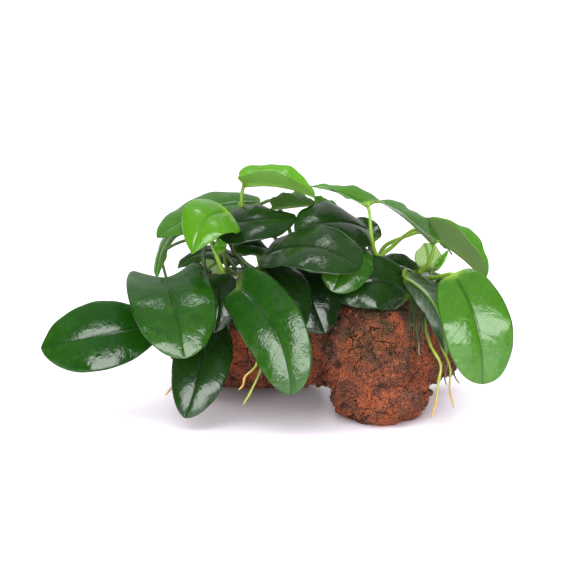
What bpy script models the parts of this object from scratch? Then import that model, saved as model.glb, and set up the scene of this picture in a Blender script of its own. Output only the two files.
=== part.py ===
"""An anubias clump on a piece of lava stone: leaves on two creeping rhizomes, roots and the stone.

The tables are in millimetres. X runs to the right of the front view, Y away from the viewer and
Z up. The origin is on the surface that the stone stands on, under the middle of the whole clump.
"""

import math

import bpy
import numpy as np

MM = 0.001

# Leaves
BLADE_THICKNESS = 0.7
BLADE_HALF_COLUMNS = 2
LARGE_LEAF_WIDTH = 24
LARGE_LEAF_ROWS = 7
SMALL_LEAF_ROWS = 6
PETIOLE_RINGS = 5
PETIOLE_RADII = (1.25, 0.85)
PETIOLE_STOP = 1.2
PETIOLE_LAUNCH = 12.6
PETIOLE_ARRIVAL = 9.0
BLADE_OUTLINE = (0.52, 0.80)
LOBE_LENGTH = 0.06
LOBE_REACH = 0.12
RISE_AT_MIDRIB = 12
CURL_TO_MARGIN = -35
MARGIN_WAVES = 2.2
MARGIN_WAVE_HEIGHT = 0.6
RIGHT_MARGIN_PHASE = 1.9

# Rhizomes: the points of the axis, and the radius
RHIZOMES = {
    "left": ([(-32, 0, 57.5), (-8, -4, 60), (13, -2, 61)], 3.2),
    "right": ([(72, -1, 57), (58, -3, 59), (44, -3, 64)], 3.0),
}
RHIZOME_RINGS = 9
RHIZOME_SIDES = 8
RHIZOME_ENDS = 0.7
FOOT_GAP = 1.0
SEAT_GAP = 0.4

# Stone: the middle and the half sizes of each lump that it is made of
STONE_LUMPS = [
    ((44, -12, 25), (22, 25, 25)),
    ((48, -17, 9), (21.5, 23, 14)),
    ((44, -9, 37), (19, 22, 11)),
    ((60, -2, 24), (16, 22, 17)),
    ((61, 5, 43), (12, 12, 13)),
    ((20, 2, 33), (24, 20, 24)),
    ((-14, 14, 30), (34, 19, 25)),
    ((-22, 6, 40), (24, 13, 15)),
    ((-8, 34, 9), (32, 11, 14)),
    ((-36, 18, 24), (14, 14, 13)),
    ((-41, 25, 18), (8, 8, 6.5)),
    ((77, 22, 14), (9, 9, 8)),
    ((60, 16, 17), (20, 17, 16)),
]
STONE_VOXEL = 2.6
STONE_BUMPS = ((16, 5.0), (6, 2.0))
STONE_FACES_KEPT = 0.11
CUTTER_DEPTH = 40

# Roots: the points of the route, and the radius at its start and its tip
ROOTS = {
    "right_long": (
        [(69, -4, 53), (69, -10, 46), (68, -17, 40), (70, -25, 33), (74, -29, 26), (73, -31, 18),
         (72, -33, 10), (70, -34, 3)],
        (0.9, 0.5),
    ),
    "right_outer": (
        [(67.5, -6.5, 54.5), (68, -11, 52), (71, -15, 45), (75, -18, 32), (79, -20, 22),
         (79, -21, 12), (81, -22, 4)],
        (0.7, 0.4),
    ),
    "right_fine": (
        [(62, -6, 55), (62, -10, 50.5), (62.5, -17, 47), (62.5, -25, 43), (64, -31, 37),
         (64, -34, 31)],
        (0.5, 0.35),
    ),
    "right_short": (
        [(69, -8, 56), (74, -13, 40), (78, -16, 24), (77, -17, 17), (78, -17, 13)],
        (0.55, 0.35),
    ),
    "right_curled": (
        [(71, -5, 56), (76, -9, 39), (79, -12, 23), (82, -13, 16), (84, -14, 13)],
        (0.55, 0.35),
    ),
    "centre_yellow": (
        [(-5.5, -9, 57.5), (-5, -15, 55), (-5, -25, 40), (-7, -29, 26), (-12, -31, 21), (-13, -31, 17),
         (-15, -32, 15)],
        (0.8, 0.5),
    ),
    "centre_green": (
        [(-2, -9, 57.5), (-2, -15, 55), (-2, -27, 39), (-5, -32, 25), (-7, -33, 20), (-10, -34, 14),
         (-13, -35, 9)],
        (0.8, 0.5),
    ),
    "left_tip": (
        [(-32, -4, 56), (-34, -7, 53), (-40, -8, 38), (-43, -12, 22), (-44, -16, 14), (-48, -19, 9)],
        (0.7, 0.5),
    ),
    "left_fine": (
        [(-18, -7, 57), (-18, -12, 55), (-18, -13, 47), (-20, -14, 39), (-20, -15, 31)],
        (0.5, 0.35),
    ),
    "rear_left": (
        [(-11, 3, 58), (-10, 15, 58), (-12, 30, 49), (-16, 41, 34), (-18, 45, 22)],
        (0.8, 0.5),
    ),
    "rear_middle": ([(8, 3, 57), (11, 29, 50), (13, 45, 36), (10, 51, 23)], (0.8, 0.5)),
    "rear_right": (
        [(54, 0, 56), (52, 14, 53.5), (53, 28, 45), (56, 36, 34), (55, 39, 24)],
        (0.8, 0.5),
    ),
}
ROOT_RINGS = 9
ROOT_SIDES = 5

# Finishes: name, colour and roughness
MID_GREEN = ("leaf_green", (0.030, 0.145, 0.022), 0.32)
DARK_GREEN = ("leaf_dark_green", (0.010, 0.062, 0.016), 0.28)
YOUNG_GREEN = ("leaf_young_green", (0.130, 0.420, 0.020), 0.34)
RHIZOME_GREEN = ("rhizome_green", (0.090, 0.130, 0.030), 0.55)
ROOT_GREEN = ("root_green", (0.330, 0.360, 0.070), 0.50)
LAVA_RED = ("lava_red", (0.260, 0.070, 0.035), 0.95)


def leaf(spine, **more):
    """One leaf.

    spine: points along the midrib, from the petiole's end to the tip
    facing: which way the upper side faces, at the base, and on to the tip
    foot: the rhizome it grows from, how far along it, and degrees from the top towards the viewer
    via: points that the petiole passes; petiole: its radius at the foot and at the blade
    outline: how full the blade is towards its base and towards its tip; small numbers are fuller
    lobe: how far the base's corners reach back, as a share of the length
    fold, curl: degrees that each half rises at the midrib, and turns by on the way to its margin
    lobe, fold and curl may be pairs, for the left half and the right one
    """
    return {
        "spine": spine,
        "via": [],
        "outline": BLADE_OUTLINE,
        "lobe": LOBE_LENGTH,
        "fold": RISE_AT_MIDRIB,
        "curl": CURL_TO_MARGIN,
        "petiole": PETIOLE_RADII,
        **more,
    }


LEAVES = {
    "far_left": leaf(
        [(-51, -13, 41), (-75, -23, 38), (-103, -20, 31)], facing=[(0, -8, 5)], width=33,
        foot=("left", 0.05, 60), via=[(-32, -13, 48)], finish=MID_GREEN, outline=(0.8, 0.7),
        curl=-30,
    ),
    "left_front": leaf(
        [(-47, -17, 62), (-41, -41, 50), (-37, -50, 34)], facing=[(0, -5, 9), (1, -8, 4)],
        width=38, foot=("left", 0.35, 10), via=[(-30, -3, 77), (-48, -9, 73)], finish=MID_GREEN,
        outline=(0.36, 0.5), lobe=0.36, curl=-25, petiole=(1.0, 0.6),
    ),
    "left_low": leaf(
        [(-30, -11, 39), (-32, -37, 25), (-38, -45, 6)], facing=[(-1, -9, 4)], width=26.5,
        foot=("left", 0.12, 95), via=[(-27, -8, 48)], finish=DARK_GREEN, outline=(0.5, 0.6),
    ),
    "front_centre": leaf(
        [(-15, -30, 61), (0, -45, 47), (8, -54, 19)], facing=[(-2, -10, 3)], width=28,
        foot=("left", 0.42, 70), via=[(-14, -19, 62)], finish=MID_GREEN, outline=(0.42, 0.5),
        lobe=0.12, curl=-25,
    ),
    "dark_centre": leaf(
        [(8, -11, 66), (17, -28, 55), (23, -33, 41)], facing=[(1, -8, 6)], width=31,
        foot=("left", 0.85, 60), via=[(2, -7, 65)], finish=DARK_GREEN, outline=(0.5, 0.6),
    ),
    "behind_centre": leaf(
        [(-5, -18, 67), (6, -32, 59), (13, -38, 43)], facing=[(3, -8, 5)], width=26,
        foot=("left", 0.6, 80), via=[(-7, -11, 65)], finish=DARK_GREEN,
    ),
    "mid_long": leaf(
        [(-4, -18, 72), (17, -32, 79), (38, -39, 71.5)], facing=[(-1, -5, 9)], width=30,
        foot=("left", 0.72, 35), via=[(-5, -10, 68)], finish=DARK_GREEN, outline=(0.55, 0.45),
        curl=-25,
    ),
    "mid_low": leaf(
        [(36, -5, 75), (32, -24, 69), (26, -30, 59)], facing=[(1, -8, 6)], width=24,
        foot=("right", 0.99, 30), via=[(39, -4, 71)], finish=MID_GREEN, outline=(0.5, 0.5),
        lobe=0.02,
    ),
    "mid_top_dark": leaf(
        [(43, 2, 80), (28, -9, 86), (10, -13, 82)], facing=[(0, -5, 8)], width=33,
        foot=("right", 0.97, -40), via=[(44, 2, 71)], finish=DARK_GREEN, outline=(0.45, 0.45),
        lobe=0.03,
    ),
    "mid_back_small": leaf(
        [(46, 7, 74), (43, 10, 79), (38, 13, 84)], facing=[(-5, -5, 7)], width=11,
        foot=("right", 0.93, -75), via=[(45, 6, 69)], finish=DARK_GREEN, petiole=(0.9, 0.6),
    ),
    "left_mid_dark": leaf(
        [(-22, -6, 85), (-6, -10, 87), (10, -2, 88)], facing=[(0, -5, 9)], width=28,
        foot=("left", 0.44, 10), via=[(-18, -1, 72)], finish=DARK_GREEN, outline=(0.3, 0.7),
        lobe=0.06,
    ),
    "dark_under_left": leaf(
        [(-17, -8, 75), (-7, -8, 75), (1, -1, 69)], facing=[(0, -5, 9)], width=14,
        foot=("left", 0.55, 45), via=[(-13, -8, 68)], finish=DARK_GREEN,
    ),
    "top": leaf(
        [(-13, 5, 100), (3, 4, 100), (19, 1, 95)], facing=[(0, 2, 10)], width=27,
        foot=("left", 0.6, -15), via=[(-14, 6, 92), (-14, 4.5, 79)], finish=YOUNG_GREEN,
        lobe=0.15, fold=(62, 36), curl=(-25, -20),
    ),
    "back_left_arch": leaf(
        [(-6, 16, 90), (-30, 14, 87.5), (-52.5, 6, 76)], facing=[(-3, -4, 8)], width=27,
        foot=("left", 0.95, -50), via=[(7, 17, 80), (0, 22, 90)], finish=MID_GREEN,
        outline=(0.7, 0.7), curl=-25,
    ),
    "left_back_droop": leaf(
        [(-34, 25, 82), (-48, 19, 74), (-53, 10, 56)], facing=[(-8, -3, 5)], width=17,
        foot=("left", 0.25, -60), via=[(-24, 22, 72)], finish=MID_GREEN,
    ),
    "bright_left": leaf(
        [(-20, -10, 90), (-28, -21, 90), (-35, -28, 75)], facing=[(2, -5, 8), (-4, -8, 4)],
        width=28, foot=("left", 0.22, 55), via=[(-22, -14, 64), (-25, -17, 73), (-27, -16, 81)],
        finish=YOUNG_GREEN, outline=(0.4, 0.95), lobe=0.05,
    ),
    "small_under_bright": leaf(
        [(-22, -18, 74), (-23, -21, 78), (-23, -23, 81)], facing=[(0, -9, 4)], width=6,
        foot=("left", 0.3, 35), via=[(-21, -11, 67)], finish=YOUNG_GREEN, petiole=(0.9, 0.6),
    ),
    "behind_bright": leaf(
        [(-30, -9, 77), (-32, -11, 82), (-31, -12, 87)], facing=[(0, -9, 4)], width=13,
        foot=("left", 0.1, 25), via=[(-30, -8, 64), (-31, -9, 71)], finish=MID_GREEN,
    ),
    "left_mid_back": leaf(
        [(-15, 5, 65), (-28, 5, 70), (-43, 0, 63)], facing=[(-2, -2, 10)], width=20,
        foot=("left", 0.45, -35), finish=DARK_GREEN,
    ),
    "pale_back": leaf(
        [(-24, 17, 63), (-29, 18, 60), (-35, 17, 54)], facing=[(1, 8, -5)], width=14,
        foot=("left", 0.3, -80), via=[(-21, 13, 61)], finish=YOUNG_GREEN, petiole=(0.8, 0.5),
    ),
    "centre_left_dark": leaf(
        [(-25.5, -19, 63), (-23.5, -29.2, 54), (-25.5, -32.2, 41)], facing=[(-1, -9, 4)],
        width=19, foot=("left", 0.28, 85), via=[(-24, -11, 59)], finish=DARK_GREEN,
    ),
    "top_back": leaf(
        [(0, 10, 89), (9, 8, 90), (20, 7, 91)], facing=[(0, 1, 10)], width=25,
        foot=("left", 0.88, -25), via=[(-2, 5, 82)], finish=MID_GREEN, fold=(45, 45),
        curl=(-25, -25),
    ),
    "top_small": leaf(
        [(29, 9, 86), (24, 11, 90), (19, 13, 94)], facing=[(2, -6, 8)], width=11,
        foot=("left", 1, -10), via=[(22, 3, 76)], finish=MID_GREEN, petiole=(0.9, 0.6),
    ),
    "top_right": leaf(
        [(42, -12, 93.5), (31, -7, 98.5), (17, -3, 101)], facing=[(0, 2, 10), (0, 1, 10)],
        width=19, foot=("right", 0.85, 35), via=[(45.5, -9.5, 73), (43.5, -16, 82)],
        finish=MID_GREEN, outline=(0.2, 0.9), lobe=(0.02, 0.25), fold=(4, 40), curl=(-6, -22),
        petiole=(1.1, 0.7),
    ),
    "right_top": leaf(
        [(72, -4, 75), (64, 0, 82.5), (48, 12, 92)], facing=[(1, 2, 10)], width=25,
        foot=("right", 0.2, -5), via=[(70, -4, 66)], finish=MID_GREEN, outline=(0.25, 0.4),
        lobe=0.12, fold=(22, 26), curl=(-20, -20),
    ),
    "right_arch": leaf(
        [(66, 22, 77), (81, 13, 70), (96, 4, 57)], facing=[(3, 1, 10)], width=27,
        foot=("right", 0.68, -5), via=[(48, 0, 67), (54, 5, 72)], finish=MID_GREEN,
        outline=(0.5, 0.6), lobe=0.03, fold=(58, 60), curl=(-5, -15),
    ),
    "right_back": leaf(
        [(68, 31, 74), (76, 34, 71), (84, 32, 63)], facing=[(1, 1, 10)], width=12,
        foot=("right", 0.7, -65), via=[(49, 8, 68), (53, 14, 72)], finish=MID_GREEN,
    ),
    "right_front": leaf(
        [(79, -28, 66), (88, -42, 47), (91, -44, 21)], facing=[(1, -10, 3)], width=30.5,
        foot=("right", 0.08, 60), via=[(73, -15, 62)], finish=MID_GREEN, outline=(0.52, 0.5),
        curl=-20,
    ),
    "right_sliver": leaf(
        [(78, -4, 54), (76, -6, 57), (73, -7, 60)], facing=[(5, -7, 5)], width=7,
        foot=("right", 0.0, 95), finish=DARK_GREEN, petiole=(0.7, 0.5),
    ),
    "pale_small": leaf(
        [(70.8, 10.3, 60.3), (71.3, 14.3, 65), (70, 21, 71)], facing=[(0, 9, -4)], width=13,
        foot=("right", 0.17, -50), finish=YOUNG_GREEN, petiole=(0.8, 0.6),
    ),
    "new_leaf_spear": leaf(
        [(73, 0.5, 62), (76, 2, 66), (79.5, 3, 71)], facing=[(0, -9, 4)], width=4.2,
        foot=("right", 0.02, -20), via=[], finish=YOUNG_GREEN, fold=50, petiole=(0.8, 0.6),
    ),
    "mid_right_dark": leaf(
        [(60, -12, 52), (46, -19, 61), (28, -21, 54)], facing=[(0, -8, 6)], width=27,
        foot=("right", 0.3, 85), via=[(65, -8, 54.5)], finish=DARK_GREEN, outline=(0.5, 0.55),
        lobe=0.03,
    ),
    "right_back_dark": leaf(
        [(66, 6, 58.5), (57, 8, 62.5), (44, 7, 61)], facing=[(0, -6, 8)], width=17,
        foot=("right", 0.3, -45), finish=DARK_GREEN, outline=(0.5, 0.6), lobe=0.02,
    ),
    "right_drooping": leaf(
        [(58.5, -18.5, 63), (67, -21, 57), (77, -24, 29)], facing=[(-1, 8, 5)], width=14,
        foot=("right", 0.47, 30), via=[], finish=DARK_GREEN,
    ),
    "rear_far_left": leaf(
        [(-39, 20, 56), (-54, 37, 46), (-67, 45, 30)], facing=[(-4, 3, 8)], width=24,
        foot=("left", 0.06, -50), via=[(-36, 9, 58)], finish=MID_GREEN,
    ),
    "rear_left": leaf(
        [(-18, 24, 58), (-25, 43, 50), (-28, 55, 32)], facing=[(-1, 5, 8)], width=26,
        foot=("left", 0.4, -95), via=[(-16, 8, 60)], finish=DARK_GREEN,
    ),
    "rear_middle": leaf(
        [(4, 21, 57), (6, 43, 51), (9, 56, 33)], facing=[(0, 5, 8)], width=32,
        foot=("left", 0.9, -75), via=[(4, 7, 57)], finish=MID_GREEN,
    ),
    "rear_right": leaf(
        [(33, 21, 52), (37, 39, 49), (45, 53, 34)], facing=[(1, 5, 8)], width=30,
        foot=("right", 0.85, -100), via=[(38, 9, 53)], finish=DARK_GREEN,
    ),
    "rear_far_right": leaf(
        [(74, 18, 57), (81, 34, 51), (90, 46, 34)], facing=[(4, 4, 8)], width=28,
        foot=("right", 0.02, -85), via=[(75.5, 9, 57)], finish=MID_GREEN,
    ),
}


# Curves

def unit(vectors):
    vectors = np.asarray(vectors, float)
    return vectors / np.linalg.norm(vectors, axis=-1, keepdims=True)


def running_length(line):
    steps = np.linalg.norm(np.diff(line, axis=0), axis=1)
    return np.concatenate([[0], np.cumsum(steps)])


def arc_through(points, shares):
    """The one polynomial curve through a few points, read at shares of its length."""
    points = np.asarray(points, float)
    knots = running_length(points)
    powers = len(points) - 1
    knots /= knots[-1]
    terms = np.linalg.solve(np.vander(knots, powers + 1), points)
    fine = np.linspace(0, 1, 65)
    length = running_length(np.vander(fine, powers + 1) @ terms)
    at = np.interp(np.asarray(shares) * length[-1], length, fine)
    slopes = terms[:-1] * np.arange(powers, 0, -1)[:, None]
    return np.vander(at, powers + 1) @ terms, unit(np.vander(at, powers) @ slopes), length[-1]


def hermite_line(points, launch, arrival, steps=12):
    """A dense smooth line through points, with the given tangents at its two ends."""
    points = [np.asarray(point, float) for point in points]
    tangents = [np.asarray(launch, float)]
    for before, here, after in zip(points, points[1:], points[2:]):
        nearer = min(np.linalg.norm(here - before), np.linalg.norm(after - here))
        tangents.append(unit(after - before) * nearer)
    tangents.append(np.asarray(arrival, float))
    line = []
    for k in range(len(points) - 1):
        for s in np.arange(steps) / steps:
            line.append(
                (2 * s**3 - 3 * s**2 + 1) * points[k]
                + (s**3 - 2 * s**2 + s) * tangents[k]
                + (3 * s**2 - 2 * s**3) * points[k + 1]
                + (s**3 - s**2) * tangents[k + 1]
            )
    return np.array([*line, points[-1]])


def read_line(line, shares, reach=0.03):
    """Points and directions at shares of a dense line's length."""
    length = running_length(line)
    length /= length[-1]

    def at(where):
        return np.stack([np.interp(where, length, line[:, k]) for k in range(3)], -1)

    ahead = at(np.clip(shares + reach, 0, 1))
    behind = at(np.clip(shares - reach, 0, 1))
    return at(shares), unit(ahead - behind)


def across(directions, last_side):
    """A side vector square to each direction, carried back from the last one without twist."""
    sides = [last_side]
    for direction in directions[::-1]:
        side = sides[-1]
        sides.append(unit(side - (side @ direction) * direction))
    return np.array(sides[:0:-1])


# Meshes

def loft(rings, tip=None):
    """Faces between rings of equally many points, closed by a flat start and by a tip or an end."""
    points = [point for ring in rings for point in ring]
    size = len(rings[0])
    faces = []
    for start in range(0, len(points) - size, size):
        for k in range(size):
            following = (k + 1) % size
            faces.append((start + k, start + following, start + size + following, start + size + k))
    faces.append(tuple(range(size))[::-1])
    last = len(points) - size
    if tip is None:
        faces.append(tuple(range(last, last + size)))
    else:
        points.append(tip)
        faces += [(last + k, last + (k + 1) % size, len(points) - 1) for k in range(size)]
    return points, faces


def round_ring(middle, side, top, radius, angles):
    return [middle + radius * (math.cos(a) * side + math.sin(a) * top) for a in angles]


def tube(line, radii, sides):
    """A round solid along a line of points."""
    shares = running_length(line)
    shares /= shares[-1]
    middles, directions = read_line(line, shares)
    flat = np.cross(directions[-1], (0, 0, 1))
    if np.linalg.norm(flat) < 0.1:
        flat = np.array([1.0, 0, 0])
    side = unit(flat)
    rings = []
    angles = -np.arange(sides) * 2 * math.pi / sides
    for middle, direction, side, radius in zip(middles, directions, across(directions, side), radii):
        rings.append(round_ring(middle, side, np.cross(side, direction), radius, angles))
    return loft(rings)


def material_of(finish):
    name, colour, roughness = finish
    material = bpy.data.materials.get(name)
    if material:
        return material
    material = bpy.data.materials.new(name)
    material.use_nodes = True
    shader = material.node_tree.nodes["Principled BSDF"]
    shader.inputs["Base Color"].default_value = (*colour, 1)
    shader.inputs["Roughness"].default_value = roughness
    shader.inputs["Metallic"].default_value = 0
    return material


def add_object(name, points, faces, finish):
    mesh = bpy.data.meshes.new(name)
    mesh.from_pydata([tuple(np.asarray(point) * MM) for point in points], [], faces)
    mesh.validate()
    mesh.shade_smooth()
    mesh.materials.append(material_of(finish))
    piece = bpy.data.objects.new(name, mesh)
    bpy.context.collection.objects.link(piece)
    return piece


# Rhizomes

def rhizome_point(which, share, degrees):
    """A point just outside a rhizome's skin, and the direction straight out of it."""
    axis, radius = RHIZOMES[which]
    middles, directions, _ = arc_through(axis, [share])
    tilt = math.radians(degrees)
    out = np.array([0, -math.sin(tilt), math.cos(tilt)])
    out = unit(out - (out @ directions[0]) * directions[0])
    return middles[0] + out * (radius + FOOT_GAP), out


def rhizome_mesh(which, gap=0.0):
    """The creeping stem, a little thinner at both ends."""
    axis, radius = RHIZOMES[which]
    shares = np.linspace(0, 1, RHIZOME_RINGS)
    line, _, _ = arc_through(axis, shares)
    taper = 1 - (1 - RHIZOME_ENDS) * np.abs(2 * shares - 1) ** 4
    return tube(line, radius * taper + gap, RHIZOME_SIDES)


# Leaves

def blade_width(shares, outline):
    """Half the blade's width along it, as a share of the most."""
    base, tip = outline
    widest = base / (base + tip)
    full = widest**base * (1 - widest) ** tip
    return shares**base * (1 - shares) ** tip / full


def facing_at(facing, shares):
    facing = unit(facing)
    if len(facing) == 1:
        return np.repeat(facing, len(shares), axis=0)
    stops = np.linspace(0, 1, len(facing))
    return np.stack([np.interp(shares, stops, facing[:, k]) for k in range(3)], -1)


def half_profile(rise, curl, reach):
    """How far out and up the blade's section is, at a share of its half width. It is an arc."""
    start, turn = math.radians(rise), math.radians(curl)
    end = start + turn * reach
    return (math.sin(end) - math.sin(start)) / turn, (math.cos(start) - math.cos(end)) / turn


def blade_grid(shape, shares, columns):
    """The blade's middle surface, one row of points across it for each share of its length."""
    middles, directions, length = arc_through(shape["spine"], shares)
    tops = facing_at(shape["facing"], shares)
    tops = unit(tops - (tops * directions).sum(1, keepdims=True) * directions)
    sides = np.cross(directions, tops)
    half = shape["width"] / 2 * blade_width(shares, shape["outline"])
    back = length * np.exp(1 - shares / LOBE_REACH) * shares / LOBE_REACH
    fullness = np.minimum(1, half / (shape["width"] / 4))
    folds = np.broadcast_to(shape["fold"], 2)
    curls = np.broadcast_to(shape["curl"], 2)
    lobes = np.broadcast_to(shape["lobe"], 2)
    grid = np.empty((len(shares), len(columns), 3))
    for k, column in enumerate(columns):
        right = int(column >= 0)
        reach = abs(column)
        out, up = half_profile(folds[right], curls[right], reach)
        phase = RIGHT_MARGIN_PHASE if right else 0
        wave = np.sin(2 * math.pi * MARGIN_WAVES * shares + phase)
        up = half * up + MARGIN_WAVE_HEIGHT * reach**2 * wave * fullness
        out = half * out * (1 if right else -1)
        grid[:, k] = (
            middles + out[:, None] * sides + up[:, None] * tops
            - (back * lobes[right] * reach**1.5)[:, None] * directions
        )
    return grid, tops, half


def blade_rows(count):
    """Shares of the length for a blade's rows, closer together near both ends."""
    steps = (np.arange(count) + 0.55) / (count + 0.25)
    return (1 - np.cos(math.pi * steps)) / 2


def petiole_line(shape):
    foot, out = rhizome_point(*shape["foot"])
    points = [foot, *np.array(shape["via"], float).reshape(-1, 3), np.array(shape["spine"][0], float)]
    first = np.linalg.norm(points[1] - points[0])
    last = np.linalg.norm(points[-1] - points[-2])
    _, directions, _ = arc_through(shape["spine"], [0])
    arrival = unit(directions[0] + unit(points[-1] - points[-2]))
    launch = out * min(0.9 * first, PETIOLE_LAUNCH)
    return hermite_line(points, launch, arrival * min(0.9 * last, PETIOLE_ARRIVAL))


def petiole_rings(shape, blade_side, angles):
    line = petiole_line(shape)
    stop = 1 - min(0.3, PETIOLE_STOP / running_length(line)[-1])
    middles, directions = read_line(line, np.linspace(0, stop, PETIOLE_RINGS))
    radii = np.linspace(*shape["petiole"], PETIOLE_RINGS)
    sides = across(directions, blade_side)
    return [
        round_ring(middle, side, np.cross(side, direction), radius, angles)
        for middle, direction, side, radius in zip(middles, directions, sides, radii)
    ]


def blade_rings(shape, rows, columns):
    """Closed rings round the blade: over its upper side, then back along its lower side."""
    grid, tops, half = blade_grid(shape, blade_rows(rows), columns)
    lens = BLADE_THICKNESS / 2 * (1 - columns**2)
    rings = []
    for row, top, width in zip(grid, tops, half):
        thin = min(1, 0.4 + 0.6 * width / (0.2 * shape["width"]))
        rise = (lens * thin)[:, None] * top
        rings.append([*(row + rise), *(row - rise)[-2:0:-1]])
    return rings


def leaf_mesh(shape):
    """Petiole and blade as one closed loft, because a leaf grows as one piece."""
    rows = LARGE_LEAF_ROWS if shape["width"] >= LARGE_LEAF_WIDTH else SMALL_LEAF_ROWS
    columns = np.linspace(-1, 1, 2 * BLADE_HALF_COLUMNS + 1)
    over = np.linspace(math.pi, 0, len(columns))
    angles = [*over, *-over[-2:0:-1]]
    _, directions, _ = arc_through(shape["spine"], [0.02])
    top = facing_at(shape["facing"], np.array([0.0]))[0]
    side = unit(np.cross(directions[0], top))
    rings = petiole_rings(shape, side, angles) + blade_rings(shape, rows, columns)
    return loft(rings, tip=np.array(shape["spine"][-1], float))


# Stone

def lump_mesh():
    """All lumps as separate ellipsoids in one mesh, which the remesh then joins."""
    points, faces = [], []
    rings, sides = 16, 24
    for middle, half in STONE_LUMPS:
        start = len(points)
        for i in range(1, rings):
            tilt = math.pi * i / rings
            for j in range(sides):
                turn = 2 * math.pi * j / sides
                ball = (math.sin(tilt) * math.cos(turn), math.sin(tilt) * math.sin(turn), -math.cos(tilt))
                points.append(np.array(middle) + np.array(half) * ball)
        bottom, top = len(points), len(points) + 1
        points += [np.array(middle) - (0, 0, half[2]), np.array(middle) + (0, 0, half[2])]
        for i in range(rings - 2):
            for j in range(sides):
                a = start + i * sides + j
                b = start + i * sides + (j + 1) % sides
                faces.append((a, b, b + sides, a + sides))
        upper = start + (rings - 2) * sides
        for j in range(sides):
            following = (j + 1) % sides
            faces.append((start + following, start + j, bottom))
            faces.append((upper + j, upper + following, top))
    return points, faces


def helper(name, points, faces):
    """A cutter: it shapes another piece and isn't one itself."""
    cutter = add_object(name, points, faces, LAVA_RED)
    cutter.hide_render = True
    cutter.display_type = "WIRE"
    return cutter


def floor_cutter():
    reach = 200
    corners = [(x, y, z) for z in (-CUTTER_DEPTH, 0) for y in (-reach, reach) for x in (-reach, reach)]
    sides = [(0, 2, 3, 1), (4, 5, 7, 6), (0, 1, 5, 4), (1, 3, 7, 5), (3, 2, 6, 7), (2, 0, 4, 6)]
    return helper("cutter_floor", corners, sides)


def cut_away(piece, cutter):
    modifier = piece.modifiers.new(cutter.name, "BOOLEAN")
    modifier.operation = "DIFFERENCE"
    modifier.solver = "EXACT"
    modifier.object = cutter


def add_bump(piece, size, height):
    texture = bpy.data.textures.new(f"bumps_{size}", "CLOUDS")
    texture.noise_scale = size * MM
    texture.noise_depth = 2
    modifier = piece.modifiers.new(texture.name, "DISPLACE")
    modifier.texture = texture
    modifier.strength = height * MM


def add_stone():
    """The lumps as one skin, roughened, cut flat under its feet and hollowed for the rhizomes."""
    stone = add_object("lava_stone", *lump_mesh(), LAVA_RED)
    skin = stone.modifiers.new("one_skin", "REMESH")
    skin.mode = "VOXEL"
    skin.voxel_size = STONE_VOXEL * MM
    for size, height in STONE_BUMPS:
        add_bump(stone, size, height)
    fewer = stone.modifiers.new("fewer_faces", "DECIMATE")
    fewer.ratio = STONE_FACES_KEPT
    cut_away(stone, floor_cutter())
    for which in RHIZOMES:
        cut_away(stone, helper(f"cutter_seat_{which}", *rhizome_mesh(which, SEAT_GAP)))


# The whole

def clear_scene():
    for piece in list(bpy.data.objects):
        bpy.data.objects.remove(piece, do_unlink=True)


def add_roots():
    for name, (points, radii) in ROOTS.items():
        launch = np.array(points[1]) - points[0]
        arrival = np.array(points[-1]) - points[-2]
        line = hermite_line(points, launch, arrival)
        shares = np.linspace(0, 1, ROOT_RINGS)
        line, _ = read_line(line, shares)
        add_object(f"root_{name}", *tube(line, np.linspace(*radii, ROOT_RINGS), ROOT_SIDES), ROOT_GREEN)


def main():
    clear_scene()
    add_stone()
    for which in RHIZOMES:
        add_object(f"rhizome_{which}", *rhizome_mesh(which), RHIZOME_GREEN)
    add_roots()
    for name, shape in LEAVES.items():
        add_object(f"leaf_{name}", *leaf_mesh(shape), shape["finish"])


main()
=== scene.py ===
"""Looks of the anubias clump on its lava stone.

The tables are in millimetres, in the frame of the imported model: X to the right of the front view,
Y away from the viewer, Z up, and the origin on the surface under the middle of the clump.
"""

import math

import bpy
import numpy as np
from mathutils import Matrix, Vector, noise


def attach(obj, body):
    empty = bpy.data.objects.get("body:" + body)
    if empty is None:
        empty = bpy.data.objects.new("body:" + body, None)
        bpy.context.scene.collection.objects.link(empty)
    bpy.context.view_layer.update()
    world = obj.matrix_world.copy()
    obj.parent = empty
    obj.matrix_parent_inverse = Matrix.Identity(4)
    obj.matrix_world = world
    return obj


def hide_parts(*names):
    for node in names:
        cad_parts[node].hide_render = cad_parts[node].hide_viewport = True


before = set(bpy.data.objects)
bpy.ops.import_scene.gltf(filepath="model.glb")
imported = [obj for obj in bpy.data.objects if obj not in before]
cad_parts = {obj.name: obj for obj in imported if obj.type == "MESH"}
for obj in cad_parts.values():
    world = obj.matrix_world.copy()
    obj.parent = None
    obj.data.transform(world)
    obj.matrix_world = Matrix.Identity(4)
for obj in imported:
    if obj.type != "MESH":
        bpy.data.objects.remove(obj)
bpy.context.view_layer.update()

BODY = "root"
MM = 0.001

# Leaves: a grid is rows along the blade and columns in each half, and the petiole's taper is its
# radius at shares of its length
BLADE_THICKNESS = 0.42
MARGIN_THICKNESS = 0.16
MARGIN_SHARPNESS = 12
LARGE_LEAF_WIDTH = 15
LARGE_LEAF_GRID = (60, 20)
SMALL_LEAF_GRID = (34, 11)
COLUMN_SPREAD = 1.35
FIRST_ROW = 0.55
ROWS_PAST_TIP = 0.25
PETIOLE_RINGS = 26
PETIOLE_RADII = (1.25, 0.85)
PETIOLE_TAPER = ((0, 1), (0.25, 0.82), (0.85, 0.66), (1, 0.68))
PETIOLE_STOP = 0.5
PETIOLE_LAUNCH = 12.6
PETIOLE_ARRIVAL = 9.0
PETIOLE_PULL = 0.9
NECK_LENGTH = 2.2
BLADE_OUTLINE = (0.52, 0.80)
LOBE_LENGTH = 0.06
LOBE_REACH = 0.12
RISE_AT_MIDRIB = 12
CURL_TO_MARGIN = -35
MARGIN_WAVES = 2.2
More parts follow.
